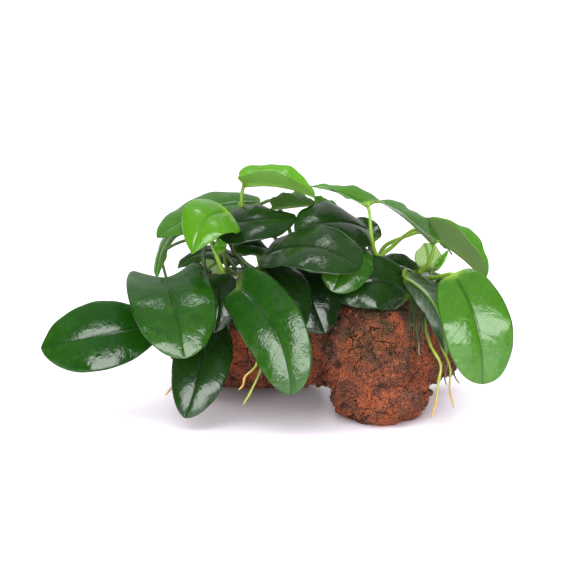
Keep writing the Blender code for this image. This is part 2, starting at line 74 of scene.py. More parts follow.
MARGIN_WAVE_HEIGHT = 0.6
RIGHT_MARGIN_PHASE = 1.9
SMALL_WAVES = 5.3
SMALL_WAVE_HEIGHT = 0.22
PHASE_PER_LEAF = 1.7
SIDE_VEINS = 9
SIDE_VEIN_LEAN = 0.24
QUILT_HEIGHT = 0.045
MIDRIB_HEIGHT = 0.75
MIDRIB_HALF_WIDTH = 0.75
GROOVE_DEPTH = 0.38
GROOVE_HALF_WIDTH = 0.6

# Rhizomes: the points of the axis, and the radius
RHIZOMES = {
    "left": ([(-32, 0, 57.5), (-8, -4, 60), (13, -2, 61)], 3.2),
    "right": ([(72, -1, 57), (58, -3, 59), (44, -3, 64)], 3.0),
}
RHIZOME_RINGS = 120
RHIZOME_SIDES = 28
RHIZOME_ENDS = 0.7
SCAR_SPACING = 3.4
FOOT_GAP = 1.0
SEAT_GAP = 0.4
SEAT_STEPS = 40

# Stone: the middle and the half sizes of each lump that it is made of
STONE_LUMPS = [
    ((44, -12, 25), (22, 25, 25)),
    ((48, -17, 9), (21.5, 23, 14)),
    ((44, -9, 37), (19, 22, 11)),
    ((60, -2, 24), (16, 22, 17)),
    ((61, 5, 43), (12, 12, 13)),
    ((20, 2, 33), (24, 20, 24)),
    ((-14, 14, 30), (34, 19, 25)),
    ((-22, 6, 40), (24, 13, 15)),
    ((-8, 34, 9), (32, 11, 14)),
    ((-36, 18, 24), (14, 14, 13)),
    ((-41, 25, 18), (8, 8, 6.5)),
    ((77, 22, 14), (9, 9, 8)),
    ((60, 16, 17), (20, 17, 16)),
]
LUMP_RINGS = 32
LUMP_SIDES = 48
STONE_VOXEL = 0.68
STONE_BUMPS = ((16, 5.0), (6, 2.0))
SMOOTH_FOOT = (0.5, 3.5)
CROWN_HEIGHTS = (18, 46)

# Lava: the size and height of its ridges and crumbs, and for each kind of pit an offset, the size of
# its cells, the share of them that has a pit, the pits' radii and how much of their depth counts
RIDGES = (6, 2.4)
CRUMBS = (1.6, 0.5)
CRUMB_OFFSET = Vector((7, 3, 1))
PITS = [
    (Vector((0, 0, 0)), 9, 0.30, (1.6, 3.0), 0.85),
    (Vector((3, 8, 2)), 4.6, 0.42, (0.7, 1.6), 0.8),
    (Vector((9, 1, 5)), 2.3, 0.5, (0.45, 0.8), 0.75),
]
MEAN_HEIGHT = 0.5
DEEPEST_PIT = 2.8
# Pits this deep, in millimetres, get the full painted shade
PIT_SHADE_DEPTH = 1.4

# Roots: the finish, the radius at the start and at the tip, and the points of the route
ROOTS = {
    "right_long": ("yellow", (0.9, 0.5), [(69, -4, 53), (69, -10, 46), (68, -17, 40), (70, -25, 33),
        (74, -29, 26), (73, -31, 18), (72, -33, 10), (70, -34, 3)]),
    "right_outer": ("yellow", (0.7, 0.4), [(67.5, -6.5, 54.5), (68, -11, 52), (71, -15, 45),
        (75, -18, 32), (79, -20, 22), (79, -21, 12), (81, -22, 4)]),
    "right_fine": ("dark", (0.5, 0.35), [(62, -6, 55), (62, -10, 50.5), (62.5, -17, 47),
        (62.5, -25, 43), (64, -31, 37), (64, -34, 31)]),
    "right_short": ("dark", (0.55, 0.35), [(69, -8, 56), (74, -13, 40), (78, -16, 24), (77, -17, 17),
        (78, -17, 13)]),
    "right_curled": ("dark", (0.55, 0.35), [(71, -5, 56), (76, -9, 39), (79, -12, 23), (82, -13, 16),
        (84, -14, 13)]),
    "centre_yellow": ("yellow", (0.8, 0.5), [(-5.5, -9, 57.5), (-5, -15, 55), (-5, -25, 40),
        (-7, -29, 26), (-12, -31, 21), (-13, -31, 17), (-15, -32, 15)]),
    "centre_green": ("green", (0.8, 0.5), [(-2, -9, 57.5), (-2, -15, 55), (-2, -27, 39), (-5, -32, 25),
        (-7, -33, 20), (-10, -34, 14), (-13, -35, 9)]),
    "left_tip": ("yellow", (0.7, 0.5), [(-32, -4, 56), (-34, -7, 53), (-40, -8, 38), (-43, -12, 22),
        (-44, -16, 14), (-48, -19, 9)]),
    "left_fine": ("dark", (0.5, 0.35), [(-18, -7, 57), (-18, -12, 55), (-18, -13, 47), (-20, -14, 39),
        (-20, -15, 31)]),
    "rear_left": ("green", (0.8, 0.5), [(-11, 3, 58), (-10, 15, 58), (-12, 30, 49), (-16, 41, 34),
        (-18, 45, 22)]),
    "rear_middle": ("yellow", (0.8, 0.5), [(8, 3, 57), (11, 29, 50), (13, 45, 36), (10, 51, 23)]),
    "rear_right": ("green", (0.8, 0.5), [(54, 0, 56), (52, 14, 53.5), (53, 28, 45), (56, 36, 34),
        (55, 39, 24)]),
}
ROOT_RINGS = 60
ROOT_SIDES = 14
ROOT_KNOBS = ((0.09, 37, 0), (0.07, 71, 1))

# Thin roots: the first one's points, how far along X each next one's lie, and steps that repeat
# after a few roots
FINE_ROUTE = [
    ((61.6, -6.5, 54.5), 0.40, (0, 0, 0), 1),
    ((61.4, -15, 50.5), 0.43, (0, 0, 0.4), 2),
    ((59.5, -23, 45.5), 0.60, (0, -1.5, 0), 2),
    ((57.5, -27, 40.5), 0.80, (0, -1.5, -3.5), 3),
]
FINE_ROOTS = 15
FINE_ROOT_RADII = (0.28, 0.12)
FINE_ROOT_RINGS = 30
FINE_ROOT_SIDES = 7
FINE_ROOT_SHADE = 0.3


def leaf(spine, facing, width, foot, via=(), **more):
    """One leaf.

    spine: points along the midrib, from the petiole's end to the tip
    facing: which way the upper side faces, or which ways at the base and at the tip
    foot: the rhizome it grows from, how far along it, and degrees from the top towards the viewer
    via: points that the petiole passes; petiole: its radius at the foot and at the blade
    outline: how full the blade is towards its base and towards its tip; small numbers are fuller
    lobe: how far the base's corners reach back, as a share of the length
    fold, curl: degrees that each half rises at the midrib, and turns by on the way to its margin
    lobe, fold and curl may be pairs, for the left half and the right one
    finish: green, dark or young; dark is partly older leaves' own deeper green and partly painted shade
    tone: from 0, the finish's deep colour, to 1, its light one; stem: the same for the petiole
    pale: how much painted light from behind brightens the lower side, from 0 to 1
    """
    return {
        "spine": spine,
        "facing": facing,
        "width": width,
        "foot": foot,
        "via": via,
        "petiole": PETIOLE_RADII,
        "outline": BLADE_OUTLINE,
        "lobe": LOBE_LENGTH,
        "fold": RISE_AT_MIDRIB,
        "curl": CURL_TO_MARGIN,
        "finish": "green",
        "tone": 0.5,
        "stem": 0.4,
        "pale": 0.0,
        **more,
    }


LEAVES = {
    "far_left": leaf([(-51, -13, 41), (-75, -23, 38), (-103, -20, 31)], (0, -8, 5), 33,
        ("left", 0.05, 60), [(-32, -13, 48)], outline=(0.8, 0.7), curl=-30, tone=0.0),
    "left_front": leaf([(-47, -17, 62), (-41, -41, 50), (-37, -50, 34)], [(0, -5, 9), (1, -8, 4)], 38,
        ("left", 0.35, 10), [(-30, -3, 77), (-48, -9, 73)], outline=(0.36, 0.5), lobe=0.36, curl=-25,
        petiole=(1.0, 0.6), tone=0.1, stem=0.1),
    "left_low": leaf([(-30, -11, 39), (-32, -37, 25), (-38, -45, 6)], (-1, -9, 4), 26.5,
        ("left", 0.12, 95), [(-27, -8, 48)], finish="dark", outline=(0.5, 0.6), tone=0.45, stem=0.1),
    "front_centre": leaf([(-15, -30, 61), (0, -45, 47), (8, -54, 19)], (-2, -10, 3), 28,
        ("left", 0.42, 70), [(-14, -19, 62)], outline=(0.42, 0.5), lobe=0.12, curl=-25, tone=0.15,
        stem=0.2),
    "dark_centre": leaf([(8, -11, 66), (17, -28, 55), (23, -33, 41)], (1, -8, 6), 31,
        ("left", 0.85, 60), [(2, -7, 65)], finish="dark", outline=(0.5, 0.6), tone=0.0, stem=0.1),
    "behind_centre": leaf([(-5, -18, 67), (6, -32, 59), (13, -38, 43)], (3, -8, 5), 26,
        ("left", 0.6, 80), [(-7, -11, 65)], finish="dark", tone=0.3, stem=0.1),
    "mid_long": leaf([(-4, -18, 72), (17, -32, 79), (38, -39, 71.5)], (-1, -5, 9), 30,
        ("left", 0.72, 35), [(-5, -10, 68)], finish="dark", outline=(0.55, 0.45), curl=-25, tone=0.35,
        stem=0.1),
    "mid_low": leaf([(36, -5, 75), (32, -24, 69), (26, -30, 59)], (1, -8, 6), 24, ("right", 0.99, 30),
        [(39, -4, 71)], outline=(0.5, 0.5), lobe=0.02, tone=0.3),
    "mid_top_dark": leaf([(43, 2, 80), (28, -9, 86), (10, -13, 82)], (0, -5, 8), 33,
        ("right", 0.97, -40), [(44, 2, 71)], finish="dark", outline=(0.45, 0.45), lobe=0.03, tone=0.35,
        stem=0.1),
    "mid_back_small": leaf([(46, 7, 74), (43, 10, 79), (38, 13, 84)], (-5, -5, 7), 11,
        ("right", 0.93, -75), [(45, 6, 69)], finish="dark", petiole=(0.9, 0.6)),
    "left_mid_dark": leaf([(-22, -6, 85), (-6, -10, 87), (10, -2, 88)], (0, -5, 9), 28,
        ("left", 0.44, 10), [(-18, -1, 72)], finish="dark", outline=(0.3, 0.7), tone=0.3, stem=0.1),
    "dark_under_left": leaf([(-17, -8, 75), (-7, -8, 75), (1, -1, 69)], (0, -5, 9), 14,
        ("left", 0.55, 45), [(-13, -8, 68)], finish="dark", stem=0.1),
    "top": leaf([(-13, 5, 100), (3, 4, 100), (19, 1, 95)], (0, 2, 10), 27, ("left", 0.6, -15),
        [(-14, 6, 92), (-14, 4.5, 79)], finish="young", lobe=0.15, fold=(62, 36), curl=(-25, -20),
        pale=0.1, tone=0.8, stem=0.8),
    "back_left_arch": leaf([(-6, 16, 90), (-30, 14, 87.5), (-52.5, 6, 76)], (-3, -4, 8), 27,
        ("left", 0.95, -50), [(7, 17, 80), (0, 22, 90)], outline=(0.7, 0.7), curl=-25, tone=0.45),
    "left_back_droop": leaf([(-34, 25, 82), (-48, 19, 74), (-53, 10, 56)], (-8, -3, 5), 17,
        ("left", 0.25, -60), [(-24, 22, 72)]),
    "bright_left": leaf([(-20, -10, 90), (-28, -21, 90), (-35, -28, 75)], [(2, -5, 8), (-4, -8, 4)], 28,
        ("left", 0.22, 55), [(-22, -14, 64), (-25, -17, 73), (-27, -16, 81)], finish="young",
        outline=(0.4, 0.95), lobe=0.05, tone=0.45, stem=1.0),
    "small_under_bright": leaf([(-22, -18, 74), (-23, -21, 78), (-23, -23, 81)], (0, -9, 4), 6,
        ("left", 0.3, 35), [(-21, -11, 67)], finish="young", petiole=(0.9, 0.6), tone=0.3),
    "behind_bright": leaf([(-30, -9, 77), (-32, -11, 82), (-31, -12, 87)], (0, -9, 4), 13,
        ("left", 0.1, 25), [(-30, -8, 64), (-31, -9, 71)], stem=0.1),
    "left_mid_back": leaf([(-15, 5, 65), (-28, 5, 70), (-43, 0, 63)], (-2, -2, 10), 20,
        ("left", 0.45, -35), finish="dark", tone=0.6, stem=0.1),
    "pale_back": leaf([(-24, 17, 63), (-29, 18, 60), (-35, 17, 54)], (1, 8, -5), 14, ("left", 0.3, -80),
        [(-21, 13, 61)], finish="young", petiole=(0.8, 0.5), pale=1.0),
    "centre_left_dark": leaf([(-25.5, -19, 63), (-23.5, -29.2, 54), (-25.5, -32.2, 41)], (-1, -9, 4),
        19, ("left", 0.28, 85), [(-24, -11, 59)], finish="dark", tone=0.1, stem=0.0),
    "top_back": leaf([(0, 10, 89), (9, 8, 90), (20, 7, 91)], (0, 1, 10), 25, ("left", 0.88, -25),
        [(-2, 5, 82)], fold=45, curl=-25),
    "top_small": leaf([(29, 9, 86), (24, 11, 90), (19, 13, 94)], (2, -6, 8), 11, ("left", 1, -10),
        [(22, 3, 76)], petiole=(0.9, 0.6)),
    "top_right": leaf([(42, -12, 93.5), (31, -7, 98.5), (17, -3, 101)], [(0, 2, 10), (0, 1, 10)], 19,
        ("right", 0.85, 35), [(45.5, -9.5, 73), (43.5, -16, 82)], outline=(0.2, 0.9), lobe=(0.02, 0.25),
        fold=(4, 40), curl=(-6, -22), petiole=(1.1, 0.7), tone=0.75, stem=1.0),
    "right_top": leaf([(72, -4, 75), (64, 0, 82.5), (48, 12, 92)], (1, 2, 10), 25, ("right", 0.2, -5),
        [(70, -4, 66)], outline=(0.25, 0.4), lobe=0.12, fold=(22, 26), curl=-20, pale=0.2, tone=0.45,
        stem=0.8),
    "right_arch": leaf([(66, 22, 77), (81, 13, 70), (96, 4, 57)], (3, 1, 10), 27, ("right", 0.68, -5),
        [(48, 0, 67), (54, 5, 72)], outline=(0.5, 0.6), lobe=0.03, fold=(58, 60), curl=(-5, -15),
        pale=0.15, tone=1.0, stem=1.0),
    "right_back": leaf([(68, 31, 74), (76, 34, 71), (84, 32, 63)], (1, 1, 10), 12, ("right", 0.7, -65),
        [(49, 8, 68), (53, 14, 72)], pale=0.3, tone=0.7, stem=1.0),
    "right_front": leaf([(79, -28, 66), (88, -42, 47), (91, -44, 21)], (1, -10, 3), 30.5,
        ("right", 0.08, 60), [(73, -15, 62)], outline=(0.52, 0.5), curl=-20, tone=0.75, stem=0.9),
    "right_sliver": leaf([(78, -4, 54), (76, -6, 57), (73, -7, 60)], (5, -7, 5), 7, ("right", 0.0, 95),
        finish="dark", petiole=(0.7, 0.5)),
    "pale_small": leaf([(70.8, 10.3, 60.3), (71.3, 14.3, 65), (70, 21, 71)], (0, 9, -4), 13,
        ("right", 0.17, -50), finish="young", petiole=(0.8, 0.6), pale=0.6, tone=0.6),
    "new_leaf_spear": leaf([(73, 0.5, 62), (76, 2, 66), (79.5, 3, 71)], (0, -9, 4), 4.2,
        ("right", 0.02, -20), finish="young", fold=50, petiole=(0.8, 0.6), tone=1.0),
    "mid_right_dark": leaf([(60, -12, 52), (46, -19, 61), (28, -21, 54)], (0, -8, 6), 27,
        ("right", 0.3, 85), [(65, -8, 54.5)], finish="dark", outline=(0.5, 0.55), lobe=0.03, tone=0.5,
        stem=0.2),
    "right_back_dark": leaf([(66, 6, 58.5), (57, 8, 62.5), (44, 7, 61)], (0, -6, 8), 17,
        ("right", 0.3, -45), finish="dark", outline=(0.5, 0.6), lobe=0.02),
    "right_drooping": leaf([(58.5, -18.5, 63), (67, -21, 57), (77, -24, 29)], (-1, 8, 5), 14,
        ("right", 0.47, 30), finish="dark", tone=0.3, stem=0.5),
    "rear_far_left": leaf([(-39, 20, 56), (-54, 37, 46), (-67, 45, 30)], (-4, 3, 8), 24,
        ("left", 0.06, -50), [(-36, 9, 58)]),
    "rear_left": leaf([(-18, 24, 58), (-25, 43, 50), (-28, 55, 32)], (-1, 5, 8), 26, ("left", 0.4, -95),
        [(-16, 8, 60)], finish="dark", tone=0.8),
    "rear_middle": leaf([(4, 21, 57), (6, 43, 51), (9, 56, 33)], (0, 5, 8), 32, ("left", 0.9, -75),
        [(4, 7, 57)]),
    "rear_right": leaf([(33, 21, 52), (37, 39, 49), (45, 53, 34)], (1, 5, 8), 30, ("right", 0.85, -100),
        [(38, 9, 53)], finish="dark", tone=0.9),
    "rear_far_right": leaf([(74, 18, 57), (81, 34, 51), (90, 46, 34)], (4, 4, 8), 28,
        ("right", 0.02, -85), [(75.5, 9, 57)], tone=0.4),
}


# Curves

def unit(vectors):
    vectors = np.asarray(vectors, float)
    return vectors / np.linalg.norm(vectors, axis=-1, keepdims=True)


def running_length(line):
    steps = np.linalg.norm(np.diff(line, axis=0), axis=1)
    return np.concatenate([[0], np.cumsum(steps)])


def arc_through(points, shares):
    """The one polynomial curve through a few points, read at shares of its length."""
    points = np.asarray(points, float)
    knots = running_length(points)
    powers = len(points) - 1
    knots /= knots[-1]
    terms = np.linalg.solve(np.vander(knots, powers + 1), points)
    fine = np.linspace(0, 1, 65)
    length = running_length(np.vander(fine, powers + 1) @ terms)
    at = np.interp(np.asarray(shares) * length[-1], length, fine)
    slopes = terms[:-1] * np.arange(powers, 0, -1)[:, None]
    return np.vander(at, powers + 1) @ terms, unit(np.vander(at, powers) @ slopes), length[-1]


def hermite_line(points, launch, arrival, steps=24):
    """A dense smooth line through points, with the given tangents at its two ends."""
    points = [np.asarray(point, float) for point in points]
    tangents = [np.asarray(launch, float)]
    for before, here, after in zip(points, points[1:], points[2:]):
        nearer = min(np.linalg.norm(here - before), np.linalg.norm(after - here))
        tangents.append(unit(after - before) * nearer)
    tangents.append(np.asarray(arrival, float))
    line = []
    for k in range(len(points) - 1):
        for s in np.arange(steps) / steps:
            line.append(
                (2 * s**3 - 3 * s**2 + 1) * points[k]
                + (s**3 - 2 * s**2 + s) * tangents[k]
                + (3 * s**2 - 2 * s**3) * points[k + 1]
                + (s**3 - s**2) * tangents[k + 1]
            )
    return np.array([*line, points[-1]])


def read_line(line, shares, reach=0.03):
    """Points and directions at shares of a dense line's length."""
    length = running_length(line)
    length /= length[-1]

    def at(where):
        return np.stack([np.interp(where, length, line[:, k]) for k in range(3)], -1)

    ahead = at(np.clip(shares + reach, 0, 1))
    behind = at(np.clip(shares - reach, 0, 1))
    return at(shares), unit(ahead - behind)


def across(directions, last_side):
    """A side vector square to each direction, carried back from the last one without twist."""
    sides = [last_side]
    for direction in directions[::-1]:
        side = sides[-1]
        sides.append(unit(side - (side @ direction) * direction))
    return np.array(sides[:0:-1])


def smooth(values, low, high):
    """0 below low, 1 above high and an S between them."""
    share = np.clip((values - low) / (high - low), 0, 1)
    return share * share * (3 - 2 * share)


# Meshes

def add_attributes(mesh, attributes):
    """One number per point for each attribute."""
    for key, values in attributes.items():
        layer = mesh.attributes.new(key, "FLOAT", "POINT")
        layer.data.foreach_set("value", np.asarray(values, np.float32).ravel())


def add_object(name, data):
    thing = bpy.data.objects.new(name, data)
    bpy.context.scene.collection.objects.link(thing)
    return thing


def add_mesh(name, points, faces, attributes=None):
    """A smooth mesh from points in millimetres."""
    mesh = bpy.data.meshes.new(name)
    mesh.from_pydata((np.asarray(points) * MM).tolist(), [], faces)
    mesh.validate()
    mesh.shade_smooth()
    add_attributes(mesh, attributes or {})
    return add_object(name, mesh)


def ring_faces(rings, size, start=0):
    """Quads between rings that each have size points."""
    first = start + np.arange(rings - 1)[:, None] * size + np.arange(size)
    following = start + np.arange(rings - 1)[:, None] * size + (np.arange(size) + 1) % size
    quads = np.stack([first, following, following + size, first + size], -1)
    return quads.reshape(-1, 4).tolist()


def closed_loft(rings, start_point, tip):
    """Points and faces of a closed skin over rings, with a point at each end."""
    count, size = rings.shape[:2]
    points = [*rings.reshape(-1, 3), start_point, tip]
    first_point, last_point = count * size, count * size + 1
    last = (count - 1) * size
    faces = ring_faces(count, size)
    for k in range(size):
        following = (k + 1) % size
        faces.append((following, k, first_point))
        faces.append((last + k, last + following, last_point))
    return points, faces


def tube_rings(line, radii, sides):
    """Round rings along a dense line, the way round that makes the skin face outwards."""
    middles, directions = read_line(line, np.linspace(0, 1, len(radii)), 0.01)
    flat = np.cross(directions[-1], (0, 0, 1))
    if np.linalg.norm(flat) < 0.1:
        flat = np.array([1.0, 0, 0])
    side = across(directions, unit(flat))
    top = np.cross(side, directions)
    angles = -np.arange(sides) * 2 * math.pi / sides
    out = side[:, None] * np.cos(angles)[:, None] + top[:, None] * np.sin(angles)[:, None]
    return middles[:, None] + out * np.asarray(radii)[:, None, None], middles


def place(piece, material, slot, *nodes):
    """Gives a piece its finish, its body and the CAD nodes that it stands for."""
    piece.data.materials.append(material)
    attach(piece, BODY)
    if nodes:
        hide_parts(*nodes)


# Node trees

class Tree:
    """Nodes that are added one by one; an underscore in an input's name stands for a space."""

    def __init__(self, tree):
        self.nodes = tree.nodes
        self.links = tree.links

    def put(self, socket, value):
        if isinstance(value, bpy.types.NodeSocket):
            self.links.new(value, socket)
        elif isinstance(value, tuple):
            socket.default_value = (*value, 1)[: len(socket.default_value)]
        else:
            socket.default_value = value

    def fill(self, node, inputs):
        for name, value in inputs.items():
            self.put(node.inputs[name.replace("_", " ")], value)

    def add(self, kind, **inputs):
        node = self.nodes.new(f"ShaderNode{kind}")
        self.fill(node, inputs)
        return node

    def math(self, operation, a, b=0.0, c=0.0, clamp=False):
        node = self.add("Math")
        node.operation = operation
        node.use_clamp = clamp
        for socket, value in zip(node.inputs, (a, b, c)):
            self.put(socket, value)
        return node.outputs[0]

    def times(self, a, b):
        return self.math("MULTIPLY", a, b)

    def between(self, value, low, high, at_low=0.0, at_high=1.0):
        """A smooth step from at_low to at_high as value goes from low to high."""
        ends = {"From_Min": low, "From_Max": high, "To_Min": at_low, "To_Max": at_high}
        node = self.add("MapRange", Value=value, **ends)
        node.interpolation_type = "SMOOTHSTEP"
        return node.outputs[0]


class Finish(Tree):
    """A procedural material. Sizes are in millimetres on the object."""

    def __init__(self, name):
        self.material = bpy.data.materials.new(name)
        self.material.use_nodes = True
        super().__init__(self.material.node_tree)
        self.shader = self.nodes["Principled BSDF"]
        self.place = self.add("TexCoord").outputs["Object"]

    def shade(self, **inputs):
        """Sets the shader's own sockets."""
        self.fill(self.shader, inputs)

    def attribute(self, name):
        node = self.add("Attribute")
        node.attribute_name = name
        return node.outputs["Fac"]

    def mix(self, share, a, b):
        node = self.add("Mix")
        node.data_type = "RGBA"
        self.put(node.inputs[0], share)
        self.put(node.inputs[6], a)
        self.put(node.inputs[7], b)
        return node.outputs[2]

    def noise(self, size, detail=4.0, roughness=0.55, twist=0.0):
        node = self.add("TexNoise", Vector=self.place, Scale=1 / (size * MM), Detail=detail)
        self.fill(node, {"Roughness": roughness, "Distortion": twist})
        return node.outputs["Fac"]

    def cells(self, size, feature="F1"):
        node = self.add("TexVoronoi", Vector=self.place, Scale=1 / (size * MM))
        node.feature = feature
        return node.outputs["Distance"]

    def bump(self, height, depth, below=None):
        """Relief of this depth in millimetres, over another one."""
        node = self.add("Bump", Height=height, Strength=1, Distance=depth * MM)
        if below is not None:
            self.put(node.inputs["Normal"], below)
        return node.outputs["Normal"]


# Leaf finishes: the deep and light colours of the upper side, the lower side, the painted shade in
# the midrib's groove and side veins above, the rib below, the margin's painted rim light, and how
# much light passes through
LEAF_COLOURS = {
    "green": {
        "deep": (0.006, 0.042, 0.002), "light": (0.06, 0.2, 0.009), "under": (0.054, 0.138, 0.02),
        "crease_shade": (0.005, 0.028, 0.003), "rib": (0.13, 0.23, 0.05), "edge": (0.06, 0.15, 0.022),
        "glow": 0.05,
    },
    # dark: partly older leaves' own deeper green and partly painted shade for leaves deep in the clump
    "dark": {
        "deep": (0.003, 0.013, 0.002), "light": (0.016, 0.062, 0.006), "under": (0.018, 0.046, 0.012),
        "crease_shade": (0.002, 0.01, 0.002), "rib": (0.085, 0.2, 0.023), "edge": (0.05, 0.115, 0.026),
        "glow": 0.02,
    },
    "young": {
        "deep": (0.038, 0.14, 0.004), "light": (0.092, 0.275, 0.006), "under": (0.13, 0.3, 0.022),
        "crease_shade": (0.045, 0.17, 0.006), "rib": (0.2, 0.37, 0.045), "edge": (0.14, 0.32, 0.022),
        "glow": 0.2,
    },
}
# Painted light: the lower side's colour when lit through from behind
BACKLIT_UNDERSIDE = (0.600, 0.780, 0.380)
STEM_DEEP = (0.010, 0.036, 0.004)
STEM_LIGHT = (0.200, 0.370, 0.018)

# Leaves lighten from this share of their length on, by this much over the whole of it
BASE_TO_TIP = (0.55, 0.35)
CLOUDINESS = 0.5
SIDE_VEIN_WIDTH = 0.09
THIN_VEIN_WIDTH = 0.16
THIN_VEINS_PER_VEIN = 4.0
LEAF_ROUGHNESS = (0.11, 0.25)
ROUGHER_BELOW = 0.2
PETIOLE_ROUGHNESS = 0.42
SIDE_VEIN_DEPTH = 0.015
THIN_VEIN_DEPTH = 0.006

# Relief: sizes and depths in millimetres
LEAF_BUMPS = ((2.4, 0.18), (1.1, 0.035))
LEAF_GRAIN = (0.42, 0.006)

# How far red, green and blue light spread inside, in metres
LEAF_GLOW_RADII = (0.0006, 0.0016, 0.0003)
ROOT_GLOW_RADII = (0.0010, 0.0008, 0.0003)

STONE_COLOURS = {
    "dull": (0.165, 0.074, 0.048),
    "red": (0.57, 0.13, 0.042),
    "light_grain": (0.74, 0.23, 0.09),
    "dark_grain": (0.05, 0.018, 0.012),
    # Painted shade in the pores, cracks and pits
    "pore_shade": (0.01, 0.005, 0.004),
    "crack_shade": (0.02, 0.009, 0.008),
    "pit": (0.045, 0.016, 0.011),
    "algae": (0.075, 0.085, 0.016),
}
RHIZOME_COLOURS = {
    "deep": (0.03, 0.07, 0.012),
    "light": (0.12, 0.17, 0.035),
    "scar": (0.09, 0.055, 0.025),
}


def veins(f, phase, width):
    """1 on lines where the phase is a whole number, and 0 beyond the lines' width."""
    return f.between(f.math("PINGPONG", phase, 0.5), 0.0, width, 1.0, 0.0)


def leaf_finish(name):
    """A wet, leathery blade: veins, a pale midrib below with painted shade in the groove and veins
    above, a margin lit by painted rim light, a paler lower side that painted light from behind
    brightens, and petiole.
    """
    colours = LEAF_COLOURS[name]
    f = Finish(f"leaf_{name}")
    blade, under, tone = f.attribute("blade"), f.attribute("under"), f.attribute("tone")
    rib, edge, phase = f.attribute("rib_mm"), f.attribute("edge_mm"), f.attribute("vein_phase")
    cloud = f.noise(6, 4, 0.6)
    fine = f.noise(0.9, 3)
    line = veins(f, phase, SIDE_VEIN_WIDTH)
    thin_line = veins(f, f.times(phase, THIN_VEINS_PER_VEIN), THIN_VEIN_WIDTH)
    inner = f.times(f.between(rib, 0.3, 1.6), f.between(edge, 0.2, 2.0))
    past_middle = f.math("SUBTRACT", f.attribute("share"), BASE_TO_TIP[0])
    grown = f.math("MULTIPLY_ADD", past_middle, BASE_TO_TIP[1], tone)
    swell = f.math("MULTIPLY_ADD", f.math("SUBTRACT", cloud, 0.5), CLOUDINESS, grown, clamp=True)
    base = f.mix(swell, colours["deep"], colours["light"])
    # Painted shade in the side veins' creases on the upper side
    base = f.mix(f.times(line, f.times(inner, 0.12)), base, colours["crease_shade"])
    base = f.mix(f.between(fine, 0.35, 0.75, 0.0, 0.25), base, colours["deep"])
    # Painted shade in the midrib's groove on the upper side
    base = f.mix(f.between(rib, 0.15, 0.9, 0.45, 0.0), base, colours["crease_shade"])
    # Painted light from behind brightens the lower side by each leaf's pale share
    below = f.mix(f.attribute("pale"), colours["under"], BACKLIT_UNDERSIDE)
    below = f.mix(f.times(line, f.times(inner, 0.6)), below, colours["rib"])
    below = f.mix(f.between(rib, 0.35, 0.95, 1.0, 0.0), below, colours["rib"])
    base = f.mix(under, base, below)
    # Painted rim light: the margin lightens on both sides
    base = f.mix(f.between(edge, 0.02, 0.40, 0.7, 0.0), base, colours["edge"])
    stem = f.mix(f.attribute("stem"), STEM_DEEP, STEM_LIGHT)
    stem = f.mix(f.between(fine, 0.4, 0.8, 0.0, 0.35), stem, STEM_DEEP)
    f.shade(Base_Color=f.mix(blade, stem, base))
    rough = f.between(f.noise(2.6, 3), 0.3, 0.7, *LEAF_ROUGHNESS)
    rough = f.math("MULTIPLY_ADD", under, ROUGHER_BELOW, rough)
    f.shade(Roughness=f.between(blade, 0.0, 1.0, PETIOLE_ROUGHNESS, rough))
    relief = f.bump(f.times(line, inner), -SIDE_VEIN_DEPTH)
    relief = f.bump(f.times(thin_line, inner), -THIN_VEIN_DEPTH, relief)
    for size, depth in LEAF_BUMPS:
        relief = f.bump(f.noise(size, 2), depth, relief)
    relief = f.bump(f.cells(LEAF_GRAIN[0]), LEAF_GRAIN[1], relief)
    f.shade(Normal=relief, IOR=1.45)
    f.shade(Subsurface_Weight=colours["glow"], Subsurface_Scale=1.0)
    f.shader.inputs["Subsurface Radius"].default_value = LEAF_GLOW_RADII
    return f.material


def stone_finish():
    """Porous lava: red-brown grains, painted shade in its pores, cracks and pits, and green algae near
    the plants.
    """
    f = Finish("lava_stone")
    colours = STONE_COLOURS
    pit, crown = f.attribute("pit"), f.attribute("crown")
    grain = f.noise(1.1, 6, 0.65)
    patch = f.noise(9, 4, 0.6, 0.4)
    speck = f.noise(0.55, 4, 0.7)
    base = f.mix(f.between(patch, 0.38, 0.64), colours["dull"], colours["red"])
    base = f.mix(f.between(speck, 0.52, 0.66), base, colours["light_grain"])
    base = f.mix(f.between(speck, 0.47, 0.40), base, colours["dark_grain"])
    pores = f.between(f.cells(1.15), 0.24, 0.36, 1.0, 0.0)
    gaps = f.times(pores, f.between(f.noise(2.2, 2), 0.42, 0.48))
    # Painted shade: the pores go near black
    base = f.mix(f.times(gaps, 0.95), base, colours["pore_shade"])
    walls = f.cells(9, "DISTANCE_TO_EDGE")
    cracks = f.between(f.math("MULTIPLY_ADD", grain, 0.16, walls), 0.085, 0.115, 1.0, 0.0)
    cracks = f.times(cracks, f.between(f.noise(14, 2), 0.47, 0.57))
    # Painted shade in the cracks
    base = f.mix(cracks, base, colours["crack_shade"])
    # Painted shade in the pits, darker the deeper they are
    base = f.mix(f.math("MULTIPLY", pit, 0.85, clamp=True), base, colours["pit"])
    damp = f.between(f.noise(13, 3), 0.45, 0.62)
    algae = f.times(f.times(damp, crown), f.between(grain, 0.40, 0.62))
    base = f.mix(f.times(algae, 0.8), base, colours["algae"])
    f.shade(Base_Color=base, Roughness=f.between(grain, 0.3, 0.7, 0.98, 0.72))
    relief = f.bump(f.noise(3.2, 5, 0.7), 1.5)
    for height, depth in ((grain, 1.1), (speck, 0.35), (gaps, -0.8), (cracks, -1.2)):
        relief = f.bump(height, depth, relief)
    f.shade(Normal=relief)
    f.shader.inputs["Specular IOR Level"].default_value = 0.3
    return f.material


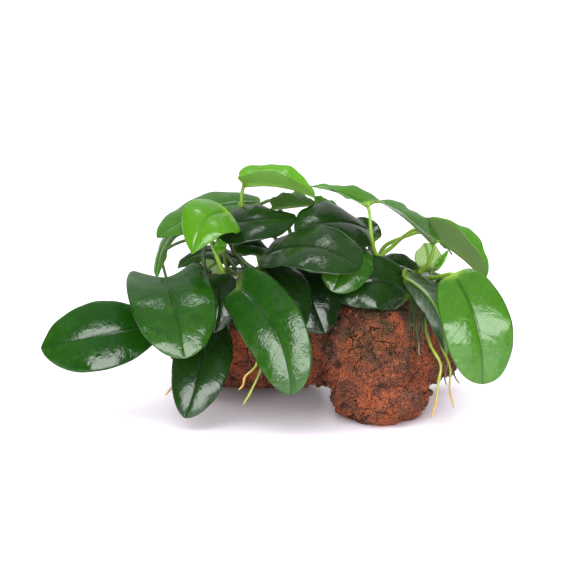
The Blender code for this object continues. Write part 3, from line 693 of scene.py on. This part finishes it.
def rhizome_finish():
    """A creeping stem with rings of old leaf scars."""
    f = Finish("rhizome")
    scar = f.times(f.attribute("scar"), 0.7)
    patch = f.between(f.noise(3, 4), 0.35, 0.65)
    base = f.mix(patch, RHIZOME_COLOURS["deep"], RHIZOME_COLOURS["light"])
    f.shade(Base_Color=f.mix(scar, base, RHIZOME_COLOURS["scar"]))
    f.shade(Roughness=0.5, Coat_Weight=0.3, Coat_Roughness=0.15)
    f.shade(Normal=f.bump(f.noise(0.8, 4), 0.25))
    return f.material


def root_finish(name, start, middle, tip):
    """A root whose colour changes along it, with a paler growing tip."""
    f = Finish(name)
    along = f.attribute("along")
    base = f.mix(f.between(along, 0.05, 0.6), start, middle)
    base = f.mix(f.between(along, 0.72, 0.93), base, tip)
    base = f.mix(f.between(f.noise(2.0, 3), 0.45, 0.75, 0.0, 0.4), base, start)
    f.shade(Base_Color=base, Roughness=0.42, Coat_Weight=0.4, Coat_Roughness=0.12)
    f.shade(Normal=f.bump(f.noise(0.7, 3), 0.12))
    f.shade(Subsurface_Weight=0.15, Subsurface_Scale=1.0)
    f.shader.inputs["Subsurface Radius"].default_value = ROOT_GLOW_RADII
    return f.material


# Leaves

def rhizome_point(which, share, degrees):
    """A point just outside a rhizome's skin, and the direction straight out of it."""
    axis, radius = RHIZOMES[which]
    middles, directions, _ = arc_through(axis, [share])
    tilt = math.radians(degrees)
    out = np.array([0, -math.sin(tilt), math.cos(tilt)])
    out = unit(out - (out @ directions[0]) * directions[0])
    return middles[0] + out * (radius + FOOT_GAP), out


def blade_width(shares, outline):
    """Half the blade's width along it, as a share of the most."""
    base, tip = outline
    widest = base / (base + tip)
    full = widest**base * (1 - widest) ** tip
    return shares**base * (1 - shares) ** tip / full


def facing_at(facing, shares):
    """Which way the upper side faces at shares of the length."""
    facing = unit(np.atleast_2d(np.asarray(facing, float)))
    if len(facing) == 1:
        return np.repeat(facing, len(shares), axis=0)
    stops = np.linspace(0, 1, len(facing))
    return np.stack([np.interp(shares, stops, facing[:, k]) for k in range(3)], -1)


def blade_rows(count):
    """Shares of the length for a blade's rows, closer together near both ends."""
    steps = (np.arange(count) + FIRST_ROW) / (count + ROWS_PAST_TIP)
    return (1 - np.cos(math.pi * steps)) / 2


def blade_columns(half_count):
    """Shares of the half width, closer together near the midrib."""
    half = (np.arange(1, half_count + 1) / half_count) ** COLUMN_SPREAD
    return np.concatenate([-half[::-1], [0], half])


def bend_across(shape, half, columns):
    """How far out and up each point lies, with each half bending evenly up to its margin."""
    right = (columns >= 0).astype(int)
    rise = np.radians(np.broadcast_to(shape["fold"], 2)[right])
    turn = np.radians(np.broadcast_to(shape["curl"], 2)[right])
    end = rise + turn * np.abs(columns)
    out = half * (np.sin(end) - np.sin(rise)) / turn * np.sign(columns)
    return out, half * (np.cos(rise) - np.cos(end)) / turn


def margin_waves(shares, reach, right, phase):
    """How far the margin's waves and ripples lift a full-grown blade."""
    along = 2 * math.pi * shares[:, None]
    wave = np.sin(MARGIN_WAVES * along + RIGHT_MARGIN_PHASE * right)
    ripple = np.sin(SMALL_WAVES * along + phase + 2 * RIGHT_MARGIN_PHASE * right)
    return reach**2 * MARGIN_WAVE_HEIGHT * wave + reach**3 * SMALL_WAVE_HEIGHT * ripple


def blade_surface(shape, shares, columns, phase):
    """The blade's middle surface, its normals, what the finish reads there, and the length."""
    middles, directions, length = arc_through(shape["spine"], shares)
    tops = facing_at(shape["facing"], shares)
    tops = unit(tops - (tops * directions).sum(1, keepdims=True) * directions)
    sides = np.cross(directions, tops)
    half = shape["width"] / 2 * blade_width(shares, shape["outline"])
    half = np.maximum(half, shape["petiole"][1] * 0.9 * (shares < 0.2))[:, None]
    reach = np.abs(columns)[None]
    right = (columns >= 0).astype(int)
    out, up = bend_across(shape, half, columns)
    vein_phase = SIDE_VEINS * (shares[:, None] - SIDE_VEIN_LEAN * reach**1.2) + 0.5 * right
    quilt = np.sin(math.pi * vein_phase) ** 2 * np.sin(math.pi * np.minimum(1, reach * 1.05)) ** 0.7
    fullness = np.minimum(1, half / (shape["width"] / 4))
    up = up + fullness * (margin_waves(shares, reach, right, phase) + QUILT_HEIGHT * quilt)
    lobe = np.broadcast_to(shape["lobe"], 2)[right]
    back = length * np.exp(1 - shares / LOBE_REACH) * shares / LOBE_REACH
    surface = (
        middles[:, None] + out[..., None] * sides[:, None] + up[..., None] * tops[:, None]
        - (back[:, None] * lobe * reach**1.5)[..., None] * directions[:, None]
    )
    normals = np.cross(np.gradient(surface, axis=0), np.gradient(surface, axis=1))
    normals = unit(normals + 1e-9)
    normals *= np.sign((normals * tops[:, None]).sum(-1, keepdims=True))
    return surface, normals, {
        "rib_mm": np.abs(out),
        "edge_mm": half * (1 - reach),
        "vein_phase": vein_phase,
        "share": shares[:, None] * np.ones_like(reach),
    }, length


def blade_skin(shape, shares, columns, rib, length):
    """How far the skin lies above and below the middle surface, and how much of it is blade."""
    reach = np.abs(columns)[None]
    neck = np.exp(-((shares * length / NECK_LENGTH) ** 2))[:, None]
    size = min(1, shape["width"] / LARGE_LEAF_WIDTH)
    toward_tip = (1 - shares[:, None]) ** 0.8
    closing = 1 - reach**MARGIN_SHARPNESS
    flat = (MARGIN_THICKNESS + (BLADE_THICKNESS - MARGIN_THICKNESS) * (1 - reach**2)) / 2
    flat = flat * np.sqrt(np.maximum(0, closing))
    groove = GROOVE_DEPTH * size * toward_tip * np.exp(-((rib / GROOVE_HALF_WIDTH) ** 2))
    ridge = MIDRIB_HEIGHT * size * toward_tip * np.exp(-((rib / MIDRIB_HALF_WIDTH) ** 2))
    round_part = shape["petiole"][1] * np.sqrt(np.maximum(0, 1 - reach**2))
    above = (1 - neck) * (flat - groove * closing) + neck * round_part
    below = (1 - neck) * (flat + ridge * closing) + neck * round_part
    return above, below, (1 - neck) * np.ones_like(reach)


def round_ring(above, below=None):
    """Values over the upper side, then back along the lower side."""
    below = above if below is None else below
    return np.concatenate([above, below[:, -2:0:-1]], axis=1)


def blade_rings(shape, grid, phase):
    """Closed rings round the blade, and what the finish reads at each of their points."""
    rows, half_count = grid
    shares, columns = blade_rows(rows), blade_columns(half_count)
    surface, normals, reads, length = blade_surface(shape, shares, columns, phase)
    above, below, blade = blade_skin(shape, shares, columns, reads["rib_mm"], length)
    upper = surface + above[..., None] * normals
    lower = surface - below[..., None] * normals
    return round_ring(upper, lower), {
        "blade": round_ring(blade),
        "under": round_ring(np.zeros_like(blade), np.ones_like(blade)),
        **{key: round_ring(values) for key, values in reads.items()},
    }


def petiole_rings(shape, side, angles):
    """Rings round the petiole from its foot to the blade, and the point where it starts."""
    foot, out = rhizome_point(*shape["foot"])
    via = np.array(shape["via"], float).reshape(-1, 3)
    points = [foot, *via, np.array(shape["spine"][0], float)]
    first = np.linalg.norm(points[1] - points[0])
    last = np.linalg.norm(points[-1] - points[-2])
    _, directions, _ = arc_through(shape["spine"], [0])
    launch = out * min(PETIOLE_PULL * first, PETIOLE_LAUNCH)
    arrival = unit(directions[0] + unit(points[-1] - points[-2]))
    line = hermite_line(points, launch, arrival * min(PETIOLE_PULL * last, PETIOLE_ARRIVAL))
    stop = 1 - min(0.3, PETIOLE_STOP / running_length(line)[-1])
    shares = np.linspace(0, stop, PETIOLE_RINGS)
    middles, directions = read_line(line, shares)
    radii = np.interp(shares, *np.transpose(PETIOLE_TAPER)) * shape["petiole"][0]
    sides = across(directions, side)
    tops = np.cross(sides, directions)
    across_ring = sides[:, None] * np.cos(angles)[:, None] + tops[:, None] * np.sin(angles)[:, None]
    return middles[:, None] + across_ring * radii[:, None, None], foot - out * FOOT_GAP


# What the finish reads on a petiole
ON_PETIOLE = {"blade": 0, "under": 0, "rib_mm": 0, "edge_mm": 9, "vein_phase": 0.25, "share": 0}


def leaf_piece(name, shape, index, material):
    """Petiole and blade as one closed skin, because a leaf grows as one piece."""
    large = shape["width"] >= LARGE_LEAF_WIDTH
    grid = LARGE_LEAF_GRID if large else SMALL_LEAF_GRID
    blade, reads = blade_rings(shape, grid, index * PHASE_PER_LEAF)
    over = np.arccos(blade_columns(grid[1]))
    angles = np.concatenate([over, -over[-2:0:-1]])
    _, directions, _ = arc_through(shape["spine"], [0.02])
    top = facing_at(shape["facing"], np.array([0.0]))[0]
    side = unit(np.cross(directions[0], top))
    stem, start = petiole_rings(shape, side, angles)
    tip = np.array(shape["spine"][-1], float)
    points, faces = closed_loft(np.concatenate([stem, blade]), start, tip)
    attributes = {key: np.full(len(points), shape[key]) for key in ("tone", "stem", "pale")}
    for key, values in reads.items():
        on_stem = np.full(stem.shape[:2], float(ON_PETIOLE[key]))
        rings = np.concatenate([on_stem, values])
        attributes[key] = [*rings.ravel(), ON_PETIOLE[key], values[-1].mean()]
    piece = add_mesh(f"anubias_leaf_{name}", points, faces, attributes)
    place(piece, material, f"{shape['finish']}_leaf", f"leaf_{name}")


def add_leaves():
    finishes = {name: leaf_finish(name) for name in LEAF_COLOURS}
    for index, (name, shape) in enumerate(LEAVES.items()):
        leaf_piece(name, shape, index, finishes[shape["finish"]])


# Rhizomes and roots

def add_rhizomes():
    material = rhizome_finish()
    for which, (axis, radius) in RHIZOMES.items():
        shares = np.linspace(0, 1, RHIZOME_RINGS)
        line, _, length = arc_through(axis, shares)
        taper = 1 - (1 - RHIZOME_ENDS) * np.abs(2 * shares - 1) ** 4
        scars = np.abs(np.sin(math.pi * shares * length / SCAR_SPACING)) ** 0.5
        radii = radius * taper * (0.9 + 0.1 * scars)
        rings, middles = tube_rings(line, radii, RHIZOME_SIDES)
        points, faces = closed_loft(rings, middles[0], middles[-1])
        scar = np.repeat(1 - scars, RHIZOME_SIDES)
        piece = add_mesh(f"anubias_rhizome_{which}", points, faces, {"scar": [*scar, 0, 0]})
        place(piece, material, "rhizome", f"rhizome_{which}")


def root_rings(points, radii, rings, sides):
    """Rings along a root that is a little knobbly and closes at its tip."""
    points = np.asarray(points, float)
    line = hermite_line(points, points[1] - points[0], points[-1] - points[-2])
    shares = np.linspace(0, 1, rings)
    knobs = 1
    for height, turns, start in ROOT_KNOBS:
        knobs = knobs + height * np.sin(shares * turns + start)
    thick = (radii[0] + (radii[1] - radii[0]) * shares) * knobs
    thick *= np.sqrt(np.clip((1.012 - shares) / 0.05, 0.02, 1))
    return tube_rings(line, thick, sides)


# Roots' colours at the start, along the middle and at the tip
ROOT_COLOURS = {
    "yellow": ((0.12, 0.22, 0.02), (0.33, 0.4, 0.02), (0.64, 0.33, 0.06)),
    "green": ((0.04, 0.1, 0.012), (0.16, 0.26, 0.02), (0.42, 0.44, 0.04)),
    "dark": ((0.016, 0.035, 0.01), (0.035, 0.065, 0.015), (0.09, 0.11, 0.03)),
}


def add_roots():
    finishes = {name: root_finish(f"root_{name}", *three) for name, three in ROOT_COLOURS.items()}
    for name, (finish, radii, points) in ROOTS.items():
        rings, middles = root_rings(points, radii, ROOT_RINGS, ROOT_SIDES)
        skin, faces = closed_loft(rings, middles[0], middles[-1])
        along = [*np.repeat(np.linspace(0, 1, ROOT_RINGS), ROOT_SIDES), 0, 1]
        piece = add_mesh(f"anubias_root_{name}", skin, faces, {"along": along})
        place(piece, finishes[finish], "root", f"root_{name}")


def add_fine_roots():
    """Thin dark roots that fan out from under the right rhizome, as one mesh."""
    points, faces = [], []
    for k in range(FINE_ROOTS):
        route = [
            np.array(point) + (step * k, 0, 0) + np.array(stagger) * (k % cycle)
            for point, step, stagger, cycle in FINE_ROUTE
        ]
        rings, middles = root_rings(route, FINE_ROOT_RADII, FINE_ROOT_RINGS, FINE_ROOT_SIDES)
        skin, skin_faces = closed_loft(rings, middles[0], middles[-1])
        faces += [tuple(len(points) + corner for corner in face) for face in skin_faces]
        points += skin
    along = np.full(len(points), FINE_ROOT_SHADE)
    piece = add_mesh("anubias_fine_roots", points, faces, {"along": along})
    place(piece, root_finish("root_fine", *ROOT_COLOURS["dark"]), "root")


# Stone

def lump_mesh():
    """All lumps as separate ellipsoids in one mesh, which the remesh then joins."""
    points, faces = [], []
    rings, sides = LUMP_RINGS, LUMP_SIDES
    tilt = math.pi * np.arange(1, rings)[:, None] / rings
    turn = 2 * math.pi * np.arange(sides)[None] / sides
    across_x, across_y = np.sin(tilt) * np.cos(turn), np.sin(tilt) * np.sin(turn)
    ball = np.stack([across_x, across_y, -np.cos(tilt) + 0 * turn], -1)
    for middle, half in STONE_LUMPS:
        start = len(points)
        points += [*(ball * half + middle).reshape(-1, 3)]
        points += [np.array(middle) - (0, 0, half[2]), np.array(middle) + (0, 0, half[2])]
        bottom, top = len(points) - 2, len(points) - 1
        faces += ring_faces(rings - 1, sides, start)
        upper = start + (rings - 2) * sides
        for j in range(sides):
            following = (j + 1) % sides
            faces.append((start + following, start + j, bottom))
            faces.append((upper + j, upper + following, top))
    return points, faces


def smooth_stone():
    """The stone's large form: the lumps as one skin with the broad bumps."""
    stone = add_mesh("anubias_lava_stone", *lump_mesh())
    skin = stone.modifiers.new("one_skin", "REMESH")
    skin.mode = "VOXEL"
    skin.voxel_size = STONE_VOXEL * MM
    for size, height in STONE_BUMPS:
        texture = bpy.data.textures.new(f"bumps_{size}", "CLOUDS")
        texture.noise_scale = size * MM
        texture.noise_depth = 2
        modifier = stone.modifiers.new(texture.name, "DISPLACE")
        modifier.texture = texture
        modifier.strength = height * MM
    evaluated = stone.evaluated_get(bpy.context.evaluated_depsgraph_get())
    mesh = bpy.data.meshes.new_from_object(evaluated)
    stone.modifiers.clear()
    stone.data = mesh
    return stone


def read_vectors(items, key):
    """One row of three numbers for each of a mesh's points or normals."""
    values = np.empty(len(items) * 3, np.float32)
    items.foreach_get(key, values)
    return values.reshape(-1, 3).astype(float)


def pit_depth(spot, size, share, radii):
    """Depth of a round pit at a point, in millimetres, with pits in a share of the cells."""
    distances, centres = noise.voronoi(spot / size)
    chance = noise.cell(centres[0] * 57.3)
    if chance > share:
        return 0
    radius = radii[0] + (radii[1] - radii[0]) * chance / share
    inside = 1 - (distances[0] * size / radius) ** 2
    return max(0, inside) ** 0.6 * radius


def roughen(points):
    """How far lava stands out at each point, and how deep in a pit it is, which sets the pit's painted
    shade.
    """
    heights, pits = [], []
    for point in points:
        spot = Vector(point)
        height = abs(noise.fractal(spot / RIDGES[0], 0.6, 2.1, 5)) * RIDGES[1]
        height += noise.fractal(spot / CRUMBS[0] + CRUMB_OFFSET, 0.7, 2.1, 3) * CRUMBS[1]
        pit = 0
        for offset, size, share, radii, counts in PITS:
            pit += counts * pit_depth(spot + offset, size, share, radii)
        heights.append(height - min(pit, DEEPEST_PIT))
        pits.append(min(1, pit / PIT_SHADE_DEPTH))
    return np.array(heights), np.array(pits)


def clear_of_rhizomes(points):
    """Presses the stone back to a seat around each rhizome."""
    for axis, radius in RHIZOMES.values():
        line, _, _ = arc_through(axis, np.linspace(0, 1, SEAT_STEPS))
        gaps = points[:, None] - line[None]
        lengths = np.linalg.norm(gaps, axis=2)
        nearest = lengths.argmin(1)
        rows = np.arange(len(points))
        near = lengths[rows, nearest]
        room = radius + SEAT_GAP
        push = (near < room)[:, None]
        points = np.where(push, line[nearest] + gaps[rows, nearest] / near[:, None] * room, points)
    return points


def add_stone():
    stone = smooth_stone()
    points = read_vectors(stone.data.vertices, "co") / MM
    normals = read_vectors(stone.data.vertex_normals, "vector")
    heights, pits = roughen(points)
    above_foot = smooth(points[:, 2], *SMOOTH_FOOT)
    points = points + normals * ((heights - MEAN_HEIGHT) * above_foot)[:, None]
    points = clear_of_rhizomes(points)
    points[:, 2] = np.maximum(points[:, 2], 0)
    stone.data.vertices.foreach_set("co", (points * MM).astype(np.float32).ravel())
    stone.data.update()
    stone.data.shade_smooth()
    crown = smooth(points[:, 2], *CROWN_HEIGHTS)
    # The pit attribute carries the pits' painted shade to the finish
    add_attributes(stone.data, {"pit": pits, "crown": crown})
    place(stone, stone_finish(), "stone", "lava_stone")


# Stage

VIEW_TARGET = (5.5, -5, 56.5)
VIEW_DISTANCE = 800
VIEW_ELEVATION = 12
VIEW_WIDTH = 256.5
VIEW_CLIP = (0.05, 20)
SENSOR = 36

# Skies: the direction that the light falls in, its angle in degrees and its strength
SKIES = {
    "ceiling": ((0.25, 0.15, -1), 60, 1.7),
    "dome": ((0, 0.35, -1), 165, 3.75),
}

# The world: the room brightens from one height to another, and the mirrored backdrop from one depth
# to another
ROOM_LIGHT = (0.5, 1.0, 0.06, 0.4)
BACKDROP = 1.6
BACKDROP_MIRRORED = (0.25, 0.8, 0.0, 0.7)
FLOOR_REACH = 12
FLOOR_COLOUR = (0.94, 0.90, 0.98)
FLOOR_ROUGHNESS = 0.30

# Soft lights: the position and size in metres, watts, and whether the object mirrors it
LIT_POINT = (0, 0, 0.05)
SOFTBOXES = {
    "fill": ((-0.1, -1.7, 0.60), (1.5, 0.75), 14, False),
    "window": ((0.05, -1.6, 0.70), (1.6, 1.0), 52, True),
    "overhead": ((-0.12, 0.15, 1.5), (0.42, 0.22), 2.2, True),
}


def add_camera():
    camera = bpy.data.cameras.new("camera")
    camera.sensor_width = SENSOR
    camera.lens = SENSOR * VIEW_DISTANCE / VIEW_WIDTH
    camera.clip_start, camera.clip_end = VIEW_CLIP
    seen_from = add_object("camera", camera)
    tilt = math.radians(VIEW_ELEVATION)
    back = Vector((0, -math.cos(tilt), math.sin(tilt)))
    seen_from.location = (Vector(VIEW_TARGET) + back * VIEW_DISTANCE) * MM
    aim(seen_from, -back)
    bpy.context.scene.camera = seen_from


def aim(thing, direction):
    thing.rotation_euler = Vector(direction).to_track_quat("-Z", "Y").to_euler()


def add_light(name, kind, power, direction):
    light = bpy.data.lights.new(name, kind)
    light.energy = power
    lamp = add_object(name, light)
    aim(lamp, direction)
    return lamp


def add_softbox(name, position, size, power, mirrored):
    """A soft light that either lights the object or is mirrored by it."""
    lamp = add_light(name, "AREA", power, Vector(LIT_POINT) - Vector(position))
    lamp.location = position
    lamp.data.shape = "RECTANGLE"
    lamp.data.size, lamp.data.size_y = size
    lamp.visible_diffuse = not mirrored
    lamp.visible_glossy = mirrored


def add_sky(name, fall, width, power):
    """A very wide light from above, which the leaves don't mirror."""
    lamp = add_light(name, "SUN", power, fall)
    lamp.data.angle = math.radians(width)
    lamp.visible_glossy = False


def add_world():
    """Bright white behind the stage, and for the object a dim room, lighter overhead and behind."""
    world = bpy.data.worlds.new("studio")
    bpy.context.scene.world = world
    world.use_nodes = True
    sky = Tree(world.node_tree)
    axes = sky.add("SeparateXYZ", Vector=sky.add("TexCoord").outputs["Generated"])
    room = sky.between(axes.outputs["Z"], *ROOM_LIGHT)
    behind = sky.between(axes.outputs["Y"], *BACKDROP_MIRRORED)
    mirrored = sky.math("ADD", room, behind)
    seen = sky.add("LightPath").outputs["Is Camera Ray"]
    strength = sky.add("MapRange", Value=seen, To_Min=mirrored, To_Max=BACKDROP).outputs[0]
    sky.fill(sky.nodes["Background"], {"Color": (1, 1, 1), "Strength": strength})


def add_floor():
    size = FLOOR_REACH
    corners = [(-size, -size, 0), (size, -size, 0), (size, size, 0), (-size, size, 0)]
    mesh = bpy.data.meshes.new("floor")
    mesh.from_pydata(corners, [], [(0, 1, 2, 3)])
    floor = add_object("floor", mesh)
    f = Finish("white_floor")
    f.shade(Base_Color=FLOOR_COLOUR, Roughness=FLOOR_ROUGHNESS)
    mesh.materials.append(f.material)


def add_stage():
    add_camera()
    add_world()
    for name, (fall, width, power) in SKIES.items():
        add_sky(name, fall, width, power)
    add_floor()
    for name, (position, size, power, mirrored) in SOFTBOXES.items():
        add_softbox(name, position, size, power, mirrored)
    bpy.context.scene.view_settings.view_transform = "Standard"


add_stone()
add_rhizomes()
add_roots()
add_fine_roots()
add_leaves()
add_stage()
